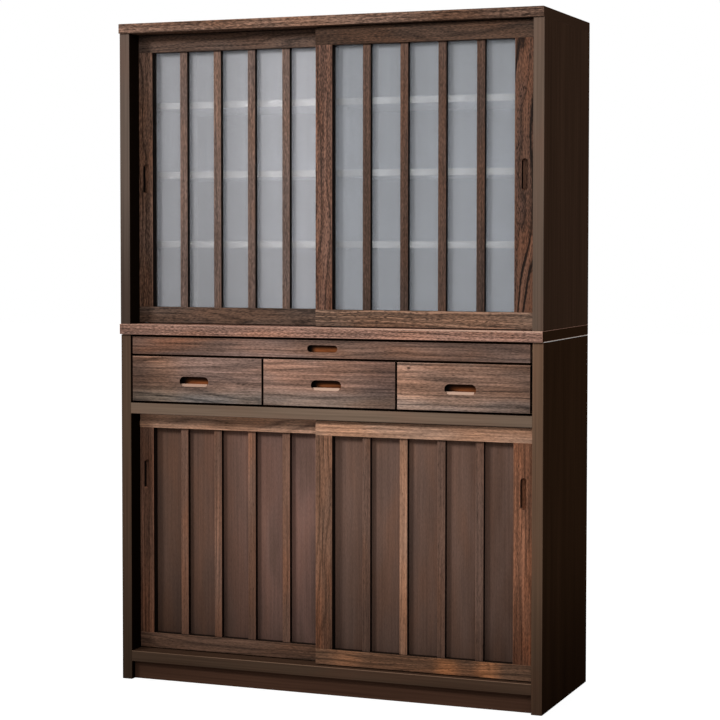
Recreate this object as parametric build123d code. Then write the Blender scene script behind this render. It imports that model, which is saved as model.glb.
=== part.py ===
from build123d import *
import os

# Mizuya kitchen cabinet: an upper display unit with two glazed sliding doors stands on a lower unit with
# a slide-out tray, three drawers and two panelled sliding doors.
# Millimetres. +X is to the right, +Y to the back, +Z up. The origin is on the floor, at the middle of the
# cabinet's width and depth, and the fronts face -Y.

# ---------------------------------------------------------------- driving dimensions

# Overall
cabinet_width = 1200.0
cabinet_depth = 450.0
cabinet_height = 1800.0
side_thickness = 29.0
board_overhang = 7.0        # top board and base board stand proud of the upper sides, in front
lower_setback = 3.0         # the lower unit's front lies behind the upper unit's
arris_radius = 1.5          # rounding along the exposed long edges of the boards
back_thickness = 5.5
back_inset = 6.0            # the back panels lie in front of the sides' rear edges
back_groove_depth = 6.0

# Heights
base_board_height = 982.0   # floor to the top of the board that the upper unit stands on
base_board_thickness = 28.0
top_board_thickness = 26.0
kick_height = 50.0
kick_recess = 19.0
kick_thickness = 18.0
rear_rail_thickness = 18.0
bottom_board_thickness = 29.0
deck_thickness = 29.5
seat_strip_thickness = 1.5  # felt between the lower sides and the base board
seat_strip_inset = 6.0
lower_top_thickness = 16.0

# Drawers and tray
front_thickness = 20.0
front_gap = 6.3             # between fronts that lie one above the other
front_side_gap = 6.0        # between a front and the side panel, and between two drawer fronts
top_front_gap = 7.0         # between the tray front and the base board
drawer_front_height = 122.5
tray_front_height = 46.4
front_stop_gap = 2.0        # between the back of the fronts and what lies behind them
divider_thickness = 16.0
divider_left_x = -176.5
divider_right_x = 203.5
divider_housing = 4.0
tray_deck_thickness = 12.0
tray_deck_lap = 3.0         # how far the drawer fronts lap over the tray deck's front edge
tray_deck_housing = 5.0
tray_board_thickness = 18.0
tray_board_rise = 4.7       # tray deck to the tray board
box_wall = 15.0
box_back_gap = 28.5         # drawer boxes and tray board to the back panel
box_rise = 4.5              # deck to the bottom of the drawer box
box_top_gap = 21.0          # drawer box to the tray deck
box_side_gap = 6.0
box_bottom_thickness = 5.5
box_bottom_rise = 6.0
box_bottom_housing = 5.0
runner_height = 15.0
runner_reach = 6.0          # how far a runner strip enters the groove in a drawer side
runner_end_gap = 10.0
runner_clearance = 0.3
tray_runner_width = 16.0

# Sliding doors
door_thickness = 32.0
door_recess = 20.0          # upper sides' front to the face of the doors on the front track
track_gap = 4.0             # between the doors of one pair
door_end_gap = 1.0
sill_gap = 3.0
head_gap = 3.0
meeting_x = -13.5           # middle of the strip where the two doors of a pair overlap
meeting_overlap = 33.0
meeting_stile_width = 47.0
right_outer_stile_width = 53.0
left_outer_stile_width = 41.0
upper_top_rail_height = 46.0
upper_bottom_rail_height = 43.0
lower_top_rail_height = 39.0
lower_bottom_rail_height = 41.0
muntin_count = 4
muntin_width = 21.5
muntin_recess = 10.0        # door face to the muntins' face
muntin_housing = 6.0
pane_recess = 25.0          # door face to the pane's face
pane_thickness = 4.0
pane_housing = 6.0
pane_clearance = 0.2
frame_arris = 1.0
tenon_thickness = 10.0
tenon_length = 18.0
tenon_shoulder = 6.0
tongue_thickness = 12.0
tongue_entry = 6.0          # how far a door's top tongue reaches into its head groove
head_groove_depth = 10.0    # leaves room to lift a door off its track
tongue_clearance = 0.75
sill_groove_depth = 5.0
track_strip_width = 8.0
track_strip_thickness = 1.5
glide_width = 6.0
glide_length = 60.0
glide_housing = 5.0
glide_inset = 70.0          # door edge to the middle of a glide
glide_clearance = 0.3

# Finger slots
door_slot_width = 16.0
door_slot_height = 82.0
door_slot_depth = 14.0
upper_slot_drop = 392.0     # door's top edge to the middle of its finger slot
lower_slot_drop = 169.0
drawer_slot_width = 86.0
drawer_slot_height = 27.0
drawer_slot_drop = 5.0      # how far the slot lies below the middle of the drawer front
drawer_slot_shift = -7.0    # and beside it
tray_slot_width = 86.0
tray_slot_height = 19.0
tray_slot_depth = 14.0
tray_slot_rise = 1.5        # how far the slot lies above the middle of the tray front
tray_slot_x = -4.0
lip_rise = 7.0              # sloped lower lip of the drawers' slots, at 45 degrees
lip_land = 1.0              # drawer's face to the start of the slope

# Partitions, shelves and pins
partition_thickness = 18.0
partition_housing = 5.0
shelf_thickness = 18.0
shelf_front_gap = 12.0      # back of the rear doors to the shelves and partitions
shelf_end_gap = 1.0
shelf_back_gap = 1.0
upper_shelf_count = 3
upper_top_space = 184.0     # clear height over the highest shelf
upper_bottom_space = 209.0  # and under the lowest
lower_shelf_height = 326.0  # bottom board to the lower shelves' upper face
pin_hole_depth = 6.0
pin_shank_radius = 2.5
pin_head_radius = 4.0
pin_head_length = 8.0
pin_clearance = 0.1
pin_inset = 80.0            # shelf's front or back edge to its pins
hole_pitch = 25.0
spare_holes = 2             # pin holes above and below the one in use

# Fixings
dowel_radius = 4.0
dowel_length = 30.0
dowel_clearance = 0.1
dowel_end_clearance = 0.5
dowel_edge_inset = 105.0
plate_width = 22.0
plate_height = 110.0
plate_thickness = 2.0
screw_head_radius = 4.0
screw_shank_radius = 2.0
screw_head_height = 2.0
screw_length = 22.0
screw_inset = 12.0          # plate's end to its outer screw
screw_pitch = 18.0

# ---------------------------------------------------------------- derived places

half_width = cabinet_width / 2
inner_x = half_width - side_thickness
back_y = cabinet_depth / 2
board_front_y = -cabinet_depth / 2
upper_front_y = board_front_y + board_overhang
lower_front_y = upper_front_y + lower_setback
back_panel_rear_y = back_y - back_inset
back_panel_y = back_panel_rear_y - back_thickness

base_board_z = base_board_height - base_board_thickness
top_board_z = cabinet_height - top_board_thickness
lower_side_top_z = base_board_z - seat_strip_thickness
lower_top_z = lower_side_top_z - lower_top_thickness
bottom_board_top_z = kick_height + bottom_board_thickness

tray_front_top_z = base_board_z - top_front_gap
tray_front_z = tray_front_top_z - tray_front_height
drawer_front_top_z = tray_front_z - front_gap
drawer_front_z = drawer_front_top_z - drawer_front_height
deck_top_z = drawer_front_z - front_gap
deck_z = deck_top_z - deck_thickness
tray_deck_z = drawer_front_top_z - tray_deck_lap
tray_deck_top_z = tray_deck_z + tray_deck_thickness
tray_board_z = tray_deck_top_z + tray_board_rise
tray_board_top_z = tray_board_z + tray_board_thickness
box_z = deck_top_z + box_rise
box_top_z = tray_deck_z - box_top_gap
runner_z = (box_z + box_top_z - runner_height) / 2
behind_fronts_y = lower_front_y + front_thickness + front_stop_gap

front_door_y = upper_front_y + door_recess
rear_door_y = front_door_y + door_thickness + track_gap
shelf_front_y = rear_door_y + door_thickness + shelf_front_gap
shelf_back_y = back_panel_y - shelf_back_gap
box_back_y = back_panel_y - box_back_gap
partition_left_x = meeting_x - partition_thickness / 2
partition_right_x = meeting_x + partition_thickness / 2


# ---------------------------------------------------------------- helpers

def block(x0, x1, y0, y1, z0, z1):
    """A box given by its two ends along each axis."""
    box = Box(x1 - x0, y1 - y0, z1 - z0)
    return Pos((x0 + x1) / 2, (y0 + y1) / 2, (z0 + z1) / 2) * box


def rod(centre, direction, radius, length):
    """A cylinder that starts at centre and runs along direction."""
    return extrude(Plane(centre, z_dir=direction) * Circle(radius), length)


def rounded(solid, axis, radius, front_only=False):
    """Rounds the edges that run along an axis, all of them or only those at the front."""
    edges = solid.edges().filter_by(axis)
    if front_only:
        edges = edges.group_by(Axis.Y)[0]
    return fillet(edges, radius)


def slot_cutter(x, z, width, height, face_y, depth):
    """A stadium-shaped recess, cut backwards from the plane y = face_y."""
    long_side = max(width, height)
    short_side = min(width, height)
    turn = 0 if width > height else 90
    outline = Plane((x, face_y, z), x_dir=(1, 0, 0), z_dir=(0, -1, 0)) * (
        SlotOverall(long_side, short_side, rotation=turn)
    )
    return extrude(outline, -depth)


def slot_lip(x, z, width, height, face_y, depth):
    """What stays standing on the floor of a wide slot: a 45 degree slope, then a level step."""
    profile = Polygon(
        (lip_land, 0), (lip_land + lip_rise, lip_rise), (depth, lip_rise), (depth, -lip_rise),
        (lip_land, -lip_rise), align=None,
    )
    plane = Plane((x, face_y, z - height / 2), x_dir=(0, 1, 0), z_dir=(1, 0, 0))
    return extrude(plane * profile, width / 2, both=True)


def cut_all(solid, cutters):
    """Removes every cutter from the solid."""
    for cutter in cutters:
        solid = solid - cutter
    return solid


def save(name, *solids):
    """Writes one node, made of one or more separate solids."""
    shape = solids[0] if len(solids) == 1 else Compound(children=list(solids))
    export_step(shape, os.path.join("parts", name + ".step"))


# ---------------------------------------------------------------- dowels

def dowel_ys(front, back):
    """Three places along the depth of a board."""
    first = front + dowel_edge_inset
    last = back - dowel_edge_inset
    return [first, (first + last) / 2, last]


def dowel(centre, direction):
    """One dowel, half on each side of the joint at centre."""
    half = Vector(*direction) * (dowel_length / 2)
    return rod(Vector(*centre) - half, direction, dowel_radius, dowel_length)


def dowel_hole(centre, direction):
    """The hole for a dowel, in both pieces at once."""
    reach = dowel_length / 2 + dowel_end_clearance
    start = Vector(*centre) - Vector(*direction) * reach
    return rod(start, direction, dowel_radius + dowel_clearance, 2 * reach)


def upright_joints(z):
    """Dowel places where a board at height z lies on or under the two side panels."""
    middle = half_width - side_thickness / 2
    return [(sign * middle, y, z) for sign in (-1, 1) for y in dowel_ys(upper_front_y, back_panel_y)]


def level_joints(sign, z, front):
    """Dowel places where a board at height z butts against one side panel."""
    return [(sign * inner_x, y, z) for y in dowel_ys(front, back_panel_y)]


upper_joints = upright_joints(top_board_z) + upright_joints(base_board_height)
lower_levels = [
    (kick_height + bottom_board_thickness / 2, lower_front_y),
    (deck_z + deck_thickness / 2, lower_front_y),
    (lower_top_z + lower_top_thickness / 2, behind_fronts_y),
]
lower_joints = [
    joint for sign in (-1, 1) for z, front in lower_levels for joint in level_joints(sign, z, front)
]
upper_dowel_holes = [dowel_hole(joint, (0, 0, 1)) for joint in upper_joints]
lower_dowel_holes = [dowel_hole(joint, (1, 0, 0)) for joint in lower_joints]


# ---------------------------------------------------------------- shelves and their pins

highest_shelf_top = top_board_z - upper_top_space
lowest_shelf_top = base_board_height + upper_bottom_space + shelf_thickness
shelf_pitch = (highest_shelf_top - lowest_shelf_top) / max(upper_shelf_count - 1, 1)
upper_shelf_tops = [highest_shelf_top - i * shelf_pitch for i in range(upper_shelf_count)]
lower_shelf_tops = [bottom_board_top_z + lower_shelf_height]
pin_ys = (shelf_front_y + pin_inset, shelf_back_y - pin_inset)
bays = ((-inner_x, partition_left_x), (partition_right_x, inner_x))


def pin_height(shelf_top):
    """Height of the pins that carry a shelf."""
    return shelf_top - shelf_thickness - pin_head_radius - pin_clearance


def pin_holes(wall_x, into_wall, shelf_tops):
    """The rows of holes in one face of a side panel or partition."""
    holes = []
    for top in shelf_tops:
        for step in range(-spare_holes, spare_holes + 1):
            z = pin_height(top) + step * hole_pitch
            for y in pin_ys:
                radius = pin_shank_radius + pin_clearance
                holes.append(rod((wall_x, y, z), (into_wall, 0, 0), radius, pin_hole_depth))
    return holes


def shelf_pins(wall_x, into_wall, shelf_tops):
    """A pin in each used hole: a shank in the wall and a thicker head under the shelf."""
    pins = []
    for top in shelf_tops:
        for y in pin_ys:
            z = pin_height(top)
            shank = rod((wall_x, y, z), (into_wall, 0, 0), pin_shank_radius, pin_hole_depth - pin_clearance)
            head = rod((wall_x, y, z), (-into_wall, 0, 0), pin_head_radius, pin_head_length)
            pins.append(shank + head)
    return pins


def shelf(bay, top):
    """One loose shelf between two walls."""
    board = block(
        bay[0] + shelf_end_gap, bay[1] - shelf_end_gap, shelf_front_y, shelf_back_y,
        top - shelf_thickness, top,
    )
    return rounded(board, Axis.X, frame_arris, front_only=True)


# ---------------------------------------------------------------- door tracks

door_faces = (front_door_y, rear_door_y)


def track_bar(face_y, width, low_z, high_z):
    """A bar along the whole track of a door, under or over the middle of its thickness."""
    middle = face_y + door_thickness / 2
    return block(-inner_x, inner_x, middle - width / 2, middle + width / 2, low_z, high_z)


def head_grooves(underside_z):
    """The grooves over a pair of doors, which their top tongues run in."""
    width = tongue_thickness + 2 * tongue_clearance
    return [track_bar(face, width, underside_z, underside_z + head_groove_depth) for face in door_faces]


def sill_grooves(board_top_z):
    """The grooves under a pair of doors, which hold the track strips."""
    floor_z = board_top_z - sill_groove_depth
    return [track_bar(face, track_strip_width, floor_z, board_top_z) for face in door_faces]


def track_strips(board_top_z):
    """The slip strips in a pair of sill grooves."""
    floor_z = board_top_z - sill_groove_depth
    top_z = floor_z + track_strip_thickness
    return [track_bar(face, track_strip_width, floor_z, top_z) for face in door_faces]


# ---------------------------------------------------------------- joining plates at the back

plate_z = base_board_z + base_board_thickness / 2 - plate_height / 2
plate_screw_zs = [
    plate_z + screw_inset,
    plate_z + screw_inset + screw_pitch,
    plate_z + plate_height - screw_inset - screw_pitch,
    plate_z + plate_height - screw_inset,
]


def plate_blank(sign):
    """The outline of a joining plate, let into the rear edge of one side panel."""
    middle = sign * (half_width - side_thickness / 2)
    return block(
        middle - plate_width / 2, middle + plate_width / 2, back_y - plate_thickness, back_y,
        plate_z, plate_z + plate_height,
    )


def screw(x, z):
    """A countersunk screw, driven forwards from the plate's face."""
    head = Cone(screw_shank_radius, screw_head_radius, screw_head_height)
    head = Plane((x, back_y, z), z_dir=(0, 1, 0)) * Pos(0, 0, -screw_head_height / 2) * head
    return head + rod((x, back_y, z), (0, -1, 0), screw_shank_radius, screw_length)


plate_screws = [
    screw(sign * (half_width - side_thickness / 2), z) for sign in (-1, 1) for z in plate_screw_zs
]
plates = [cut_all(plate_blank(sign), plate_screws) for sign in (-1, 1)]


# ---------------------------------------------------------------- upper unit

def side_panel(sign, front_y, low_z, high_z):
    """The blank of a side panel, with its upright edges slightly rounded."""
    outer = sign * half_width
    inner = sign * inner_x
    panel = block(min(outer, inner), max(outer, inner), front_y, back_y, low_z, high_z)
    return rounded(panel, Axis.Z, arris_radius)


def upper_side(sign):
    """A side panel of the upper unit."""
    panel = side_panel(sign, upper_front_y, base_board_height, top_board_z)
    holes = pin_holes(sign * inner_x, sign, upper_shelf_tops) + upper_dowel_holes + plate_screws
    return cut_all(panel, [upper_back, plate_blank(sign)] + holes)


def partition(low_z, high_z, shelf_tops):
    """An upright board between the left and right compartments, housed above and below."""
    board = block(
        partition_left_x, partition_right_x, shelf_front_y, back_panel_y,
        low_z - partition_housing, high_z + partition_housing,
    )
    holes = pin_holes(partition_left_x, 1, shelf_tops) + pin_holes(partition_right_x, -1, shelf_tops)
    return cut_all(board, holes)


upper_partition = partition(base_board_height, top_board_z, upper_shelf_tops)
upper_back = block(
    -inner_x - back_groove_depth, inner_x + back_groove_depth, back_panel_y, back_panel_rear_y,
    base_board_height - back_groove_depth, top_board_z + back_groove_depth,
)

top_board = block(-half_width, half_width, board_front_y, back_y, top_board_z, cabinet_height)
top_board = fillet(top_board.edges(), arris_radius)
top_board = cut_all(
    top_board,
    head_grooves(top_board_z) + upper_dowel_holes + [upper_partition, upper_back],
)

base_board = block(-half_width, half_width, board_front_y, back_y, base_board_z, base_board_height)
base_board = fillet(base_board.edges(), arris_radius)
base_board = cut_all(
    base_board,
    sill_grooves(base_board_height)
    + [plate_blank(sign) for sign in (-1, 1)]
    + upper_dowel_holes
    + [upper_partition, upper_back],
)


# ---------------------------------------------------------------- lower unit

tray_deck = block(
    -inner_x - tray_deck_housing, inner_x + tray_deck_housing, behind_fronts_y, back_panel_y,
    tray_deck_z, tray_deck_top_z,
)
lower_back = block(
    -inner_x - back_groove_depth, inner_x + back_groove_depth, back_panel_y, back_panel_rear_y,
    kick_height, lower_side_top_z,
)


def lower_side(sign):
    """A side panel of the lower unit, which runs down to the floor."""
    panel = side_panel(sign, lower_front_y, 0, lower_side_top_z)
    holes = pin_holes(sign * inner_x, sign, lower_shelf_tops) + lower_dowel_holes + plate_screws
    return cut_all(panel, [lower_back, tray_deck, plate_blank(sign)] + holes)


def seat_strip(sign):
    """A felt strip on top of a lower side panel, which the upper unit rests on."""
    outer = sign * half_width
    inner = sign * inner_x
    return block(
        min(outer, inner), max(outer, inner), lower_front_y + seat_strip_inset, back_y - seat_strip_inset,
        lower_side_top_z, base_board_z,
    )


def divider(x):
    """An upright board between two drawers, housed in the deck below and the tray deck above."""
    return block(
        x - divider_thickness / 2, x + divider_thickness / 2, behind_fronts_y, back_panel_y,
        deck_top_z - divider_housing, tray_deck_z + divider_housing,
    )


dividers = [divider(x) for x in (divider_left_x, divider_right_x)]
tray_deck = cut_all(tray_deck, dividers)
lower_partition = partition(bottom_board_top_z, deck_z, lower_shelf_tops)
lower_top = block(-inner_x, inner_x, behind_fronts_y, back_panel_y, lower_top_z, lower_side_top_z)
lower_top = cut_all(lower_top, lower_dowel_holes)

deck = block(-inner_x, inner_x, lower_front_y, back_panel_y, deck_z, deck_top_z)
deck = rounded(deck, Axis.X, arris_radius, front_only=True)
deck = cut_all(deck, head_grooves(deck_z) + lower_dowel_holes + dividers + [lower_partition])

bottom_board = block(-inner_x, inner_x, lower_front_y, back_panel_y, kick_height, bottom_board_top_z)
bottom_board = rounded(bottom_board, Axis.X, arris_radius, front_only=True)
bottom_board = cut_all(
    bottom_board, sill_grooves(bottom_board_top_z) + lower_dowel_holes + [lower_partition]
)

kick_y = lower_front_y + kick_recess
kick_plate = block(-inner_x, inner_x, kick_y, kick_y + kick_thickness, 0, kick_height)
rear_rail = block(-inner_x, inner_x, back_panel_y - rear_rail_thickness, back_panel_y, 0, kick_height)


# ---------------------------------------------------------------- sliding doors

class Door:
    """One sliding door: a frame of two rails and two stiles, upright muntins and a pane behind them."""

    def __init__(self, left_x, right_x, face_y, low_z, high_z, rail_heights, stile_widths):
        self.left_x = left_x
        self.right_x = right_x
        self.face_y = face_y
        self.rear_y = face_y + door_thickness
        self.middle_y = face_y + door_thickness / 2
        self.pane_y = face_y + pane_recess
        self.low_z = low_z
        self.high_z = high_z
        self.inner_low = low_z + rail_heights[0]
        self.inner_high = high_z - rail_heights[1]
        self.inner_left = left_x + stile_widths[0]
        self.inner_right = right_x - stile_widths[1]

    def pane_block(self, clearance):
        """The pane, or with a clearance the grooves that hold it."""
        reach = pane_housing + clearance
        return block(
            self.inner_left - reach, self.inner_right + reach,
            self.pane_y - clearance, self.pane_y + pane_thickness + clearance,
            self.inner_low - reach, self.inner_high + reach,
        )

    def muntins(self):
        """The upright bars in front of the pane, equally spaced and housed in both rails."""
        space = (self.inner_right - self.inner_left - muntin_count * muntin_width) / (muntin_count + 1)
        starts = [self.inner_left + space + i * (space + muntin_width) for i in range(muntin_count)]
        bars = [
            block(
                start, start + muntin_width, self.face_y + muntin_recess, self.pane_y,
                self.inner_low - muntin_housing, self.inner_high + muntin_housing,
            )
            for start in starts
        ]
        return [rounded(bar, Axis.Z, frame_arris, front_only=True) for bar in bars]

    def stile_spans(self):
        """Left and right edge of each stile."""
        return ((self.left_x, self.inner_left), (self.inner_right, self.right_x))

    def tenons(self):
        """The stiles' tenons, each as one bar that runs through the stile and into both rails."""
        return [
            block(
                left + tenon_shoulder, right - tenon_shoulder,
                self.middle_y - tenon_thickness / 2, self.middle_y + tenon_thickness / 2,
                self.inner_low - tenon_length, self.inner_high + tenon_length,
            )
            for left, right in self.stile_spans()
        ]

    def stiles(self, slot_index, slot_drop):
        """Both stiles; the outer one has the finger slot, which slot_index picks."""
        stiles = []
        for (left, right), tenon in zip(self.stile_spans(), self.tenons()):
            bar = block(left, right, self.face_y, self.rear_y, self.inner_low, self.inner_high)
            stiles.append(rounded(bar, Axis.Z, frame_arris) - self.pane_block(pane_clearance) + tenon)
        slot_x = sum(self.stile_spans()[slot_index]) / 2
        stiles[slot_index] -= slot_cutter(
            slot_x, self.high_z - slot_drop, door_slot_width, door_slot_height, self.face_y, door_slot_depth
        )
        return stiles

    def glides(self):
        """The two slips under the bottom rail, which stand on the track strip."""
        track_z = self.low_z - sill_gap - sill_groove_depth + track_strip_thickness
        half = glide_length / 2
        return [
            block(
                x - half, x + half, self.middle_y - glide_width / 2, self.middle_y + glide_width / 2,
                track_z + glide_clearance, self.low_z + glide_housing,
            )
            for x in (self.left_x + glide_inset, self.right_x - glide_inset)
        ]

    def bottom_rail(self):
        """The bottom rail, mortised for the stiles and grooved for the pane."""
        bar = block(self.left_x, self.right_x, self.face_y, self.rear_y, self.low_z, self.inner_low)
        cutters = [self.pane_block(pane_clearance)] + self.muntins() + self.tenons() + self.glides()
        return cut_all(rounded(bar, Axis.X, frame_arris), cutters)

    def top_rail(self):
        """The top rail, with the tongue that runs in the head groove."""
        bar = block(self.left_x, self.right_x, self.face_y, self.rear_y, self.inner_high, self.high_z)
        tongue = block(
            self.left_x, self.right_x,
            self.middle_y - tongue_thickness / 2, self.middle_y + tongue_thickness / 2,
            self.high_z, self.high_z + head_gap + tongue_entry,
        )
        cutters = [self.pane_block(pane_clearance)] + self.muntins() + self.tenons()
        return cut_all(rounded(bar, Axis.X, frame_arris) + tongue, cutters)


def save_door(name, door, slot_index, slot_drop, pane_name):
    """Writes the nodes of one door."""
    save(name + "_top_rail", door.top_rail())
    save(name + "_bottom_rail", door.bottom_rail())
    save(name + "_stiles", *door.stiles(slot_index, slot_drop))
    save(name + "_muntins", *door.muntins())
    save(name + "_" + pane_name, door.pane_block(0))
    save(name + "_glides", *door.glides())


def save_door_pair(level, board_top_z, underside_z, rail_heights, slot_drop, pane_name):
    """Writes the left door, on the rear track, and the right door, on the front track."""
    low_z = board_top_z + sill_gap
    high_z = underside_z - head_gap
    left_door = Door(
        -inner_x + door_end_gap, meeting_x + meeting_overlap / 2, rear_door_y, low_z, high_z,
        rail_heights, (left_outer_stile_width, meeting_stile_width),
    )
    right_door = Door(
        meeting_x - meeting_overlap / 2, inner_x - door_end_gap, front_door_y, low_z, high_z,
        rail_heights, (meeting_stile_width, right_outer_stile_width),
    )
    save_door(level + "_left_door", left_door, 0, slot_drop, pane_name)
    save_door(level + "_right_door", right_door, 1, slot_drop, pane_name)


# ---------------------------------------------------------------- drawers

drawer_names = ("left", "middle", "right")
drawer_walls = (-inner_x, divider_left_x, divider_right_x, inner_x)
box_front_y = lower_front_y + front_thickness


def drawer_span(index, wall_gap, divider_gap):
    """Left and right ends of what fills one drawer's bay; divider_gap counts from a divider's middle."""
    left_gap = wall_gap if index == 0 else divider_gap
    right_gap = wall_gap if index == len(drawer_names) - 1 else divider_gap
    return drawer_walls[index] + left_gap, drawer_walls[index + 1] - right_gap


def drawer_front(index):
    """The show front of one drawer, with its finger slot."""
    left, right = drawer_span(index, front_side_gap, front_side_gap / 2)
    front = block(left, right, lower_front_y, box_front_y, drawer_front_z, drawer_front_top_z)
    front = fillet(front.faces().sort_by(Axis.Y)[0].edges(), frame_arris)
    slot_x = (left + right) / 2 + drawer_slot_shift
    slot_z = (drawer_front_z + drawer_front_top_z) / 2 - drawer_slot_drop
    slot = (slot_x, slot_z, drawer_slot_width, drawer_slot_height, lower_front_y, front_thickness)
    return front - (slot_cutter(*slot) - slot_lip(*slot))


def drawer_bottom(index):
    """The bottom panel of one drawer, housed in its four walls."""
    bay_left, bay_right = drawer_span(index, 0, divider_thickness / 2)
    inset = box_side_gap + box_wall - box_bottom_housing
    bottom_z = box_z + box_bottom_rise
    return block(
        bay_left + inset, bay_right - inset,
        box_front_y + box_wall - box_bottom_housing, box_back_y - box_wall + box_bottom_housing,
        bottom_z, bottom_z + box_bottom_thickness,
    )


def drawer_box(index):
    """The four walls of one drawer; the outer faces of the sides are grooved for the runner strips."""
    bay_left, bay_right = drawer_span(index, 0, divider_thickness / 2)
    left = bay_left + box_side_gap
    right = bay_right - box_side_gap
    inside_left = left + box_wall
    inside_right = right - box_wall
    inside_back_y = box_back_y - box_wall
    groove = (
        box_front_y, box_back_y, runner_z - runner_clearance, runner_z + runner_height + runner_clearance
    )
    groove_depth = runner_reach + runner_clearance
    walls = [
        block(left, inside_left, box_front_y, box_back_y, box_z, box_top_z)
        - block(left, left + groove_depth, *groove),
        block(inside_right, right, box_front_y, box_back_y, box_z, box_top_z)
        - block(right - groove_depth, right, *groove),
        block(inside_left, inside_right, box_front_y, box_front_y + box_wall, box_z, box_top_z),
        block(inside_left, inside_right, inside_back_y, box_back_y, box_z, box_top_z),
    ]
    return [wall - drawer_bottom(index) for wall in walls]


def drawer_runners(index):
    """The two strips that carry one drawer, on the walls of its bay."""
    bay_left, bay_right = drawer_span(index, 0, divider_thickness / 2)
    width = box_side_gap + runner_reach
    ends = (behind_fronts_y, back_panel_y - runner_end_gap, runner_z, runner_z + runner_height)
    return [block(bay_left, bay_left + width, *ends), block(bay_right - width, bay_right, *ends)]


# ---------------------------------------------------------------- slide-out tray

tray_left_x = -inner_x + front_side_gap
tray_right_x = inner_x - front_side_gap

tray_front = block(tray_left_x, tray_right_x, lower_front_y, box_front_y, tray_front_z, tray_front_top_z)
tray_front = fillet(tray_front.faces().sort_by(Axis.Y)[0].edges(), frame_arris)
tray_slot_z = (tray_front_z + tray_front_top_z) / 2 + tray_slot_rise
tray_front = tray_front - slot_cutter(
    tray_slot_x, tray_slot_z, tray_slot_width, tray_slot_height, lower_front_y, tray_slot_depth
)
tray_board = block(tray_left_x, tray_right_x, box_front_y, box_back_y, tray_board_z, tray_board_top_z)


def tray_runners(sign):
    """The strip that carries one edge of the tray board and the strip that holds it down."""
    wall = sign * inner_x
    reach = wall - sign * tray_runner_width
    sides = (min(wall, reach), max(wall, reach), behind_fronts_y, back_panel_y - runner_end_gap)
    return [
        block(*sides, tray_deck_top_z, tray_board_z - runner_clearance),
        block(*sides, tray_board_top_z + runner_clearance, lower_top_z),
    ]


# ---------------------------------------------------------------- write the nodes

os.makedirs("parts", exist_ok=True)

save("upper_side_left", upper_side(-1))
save("upper_side_right", upper_side(1))
save("top_board", top_board)
save("upper_base_board", base_board)
save("upper_back_panel", upper_back)
save("upper_partition", upper_partition)
save("shelves", *[shelf(bay, top) for bay in bays for top in upper_shelf_tops + lower_shelf_tops])

save("lower_side_left", lower_side(-1))
save("lower_side_right", lower_side(1))
save("unit_seat_strips", seat_strip(-1), seat_strip(1))
save("lower_top_panel", lower_top)
save("tray_deck", tray_deck)
save("drawer_dividers", *dividers)
save("drawer_deck", deck)
save("bottom_board", bottom_board)
save("kick_plate", kick_plate)
save("rear_base_rail", rear_rail)
save("lower_back_panel", lower_back)
save("lower_partition", lower_partition)

pin_walls = [(-inner_x, -1), (partition_left_x, 1), (partition_right_x, -1), (inner_x, 1)]
save("shelf_pins", *[
    pin
    for tops in (upper_shelf_tops, lower_shelf_tops)
    for wall_x, into_wall in pin_walls
    for pin in shelf_pins(wall_x, into_wall, tops)
])
save("door_track_strips", *track_strips(base_board_height), *track_strips(bottom_board_top_z))
save("joining_plates", *plates)
save("joining_screws", *plate_screws)
save(
    "carcass_dowels",
    *[dowel(joint, (0, 0, 1)) for joint in upper_joints],
    *[dowel(joint, (1, 0, 0)) for joint in lower_joints],
)

save_door_pair(
    "upper", base_board_height, top_board_z, (upper_bottom_rail_height, upper_top_rail_height),
    upper_slot_drop, "glass",
)
save_door_pair(
    "lower", bottom_board_top_z, deck_z, (lower_bottom_rail_height, lower_top_rail_height),
    lower_slot_drop, "panel",
)

for index, drawer_name in enumerate(drawer_names):
    save("drawer_" + drawer_name + "_front", drawer_front(index))
    save("drawer_" + drawer_name + "_box", *drawer_box(index))
    save("drawer_" + drawer_name + "_bottom", drawer_bottom(index))
save(
    "runner_strips",
    *[strip for index in range(len(drawer_names)) for strip in drawer_runners(index)],
    *[strip for sign in (-1, 1) for strip in tray_runners(sign)],
)
save("tray_front", tray_front)
save("tray_board", tray_board)
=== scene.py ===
"""Dark-brown mizuya kitchen cabinet: materials, studio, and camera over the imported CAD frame.

Metres, in the frame of the CAD model: +X right, +Y back, +Z up, the floor at z = 0.
"""
import math

import bpy
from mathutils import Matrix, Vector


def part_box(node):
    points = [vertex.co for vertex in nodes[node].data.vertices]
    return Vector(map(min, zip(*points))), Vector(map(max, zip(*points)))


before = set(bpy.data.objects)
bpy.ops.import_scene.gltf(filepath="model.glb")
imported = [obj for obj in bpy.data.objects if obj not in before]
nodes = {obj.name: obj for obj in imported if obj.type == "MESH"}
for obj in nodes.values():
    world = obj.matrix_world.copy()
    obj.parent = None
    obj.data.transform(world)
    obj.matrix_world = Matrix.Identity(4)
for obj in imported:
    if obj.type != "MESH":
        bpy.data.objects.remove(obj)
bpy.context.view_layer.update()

# ---------------------------------------------------------------- named values

# Camera, at the photograph's viewing angle
SENSOR_WIDTH = 36.0
LENS = 102.885
SHIFT = (0.0556, -0.0444)
CAMERA_PLACE = (2.0332, -5.2432, 1.2213)
CAMERA_TURN = (87.455, 0.0, 22.118)
CAMERA_REACH = 100.0

# Light
AMBIENT = 0.42
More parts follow.
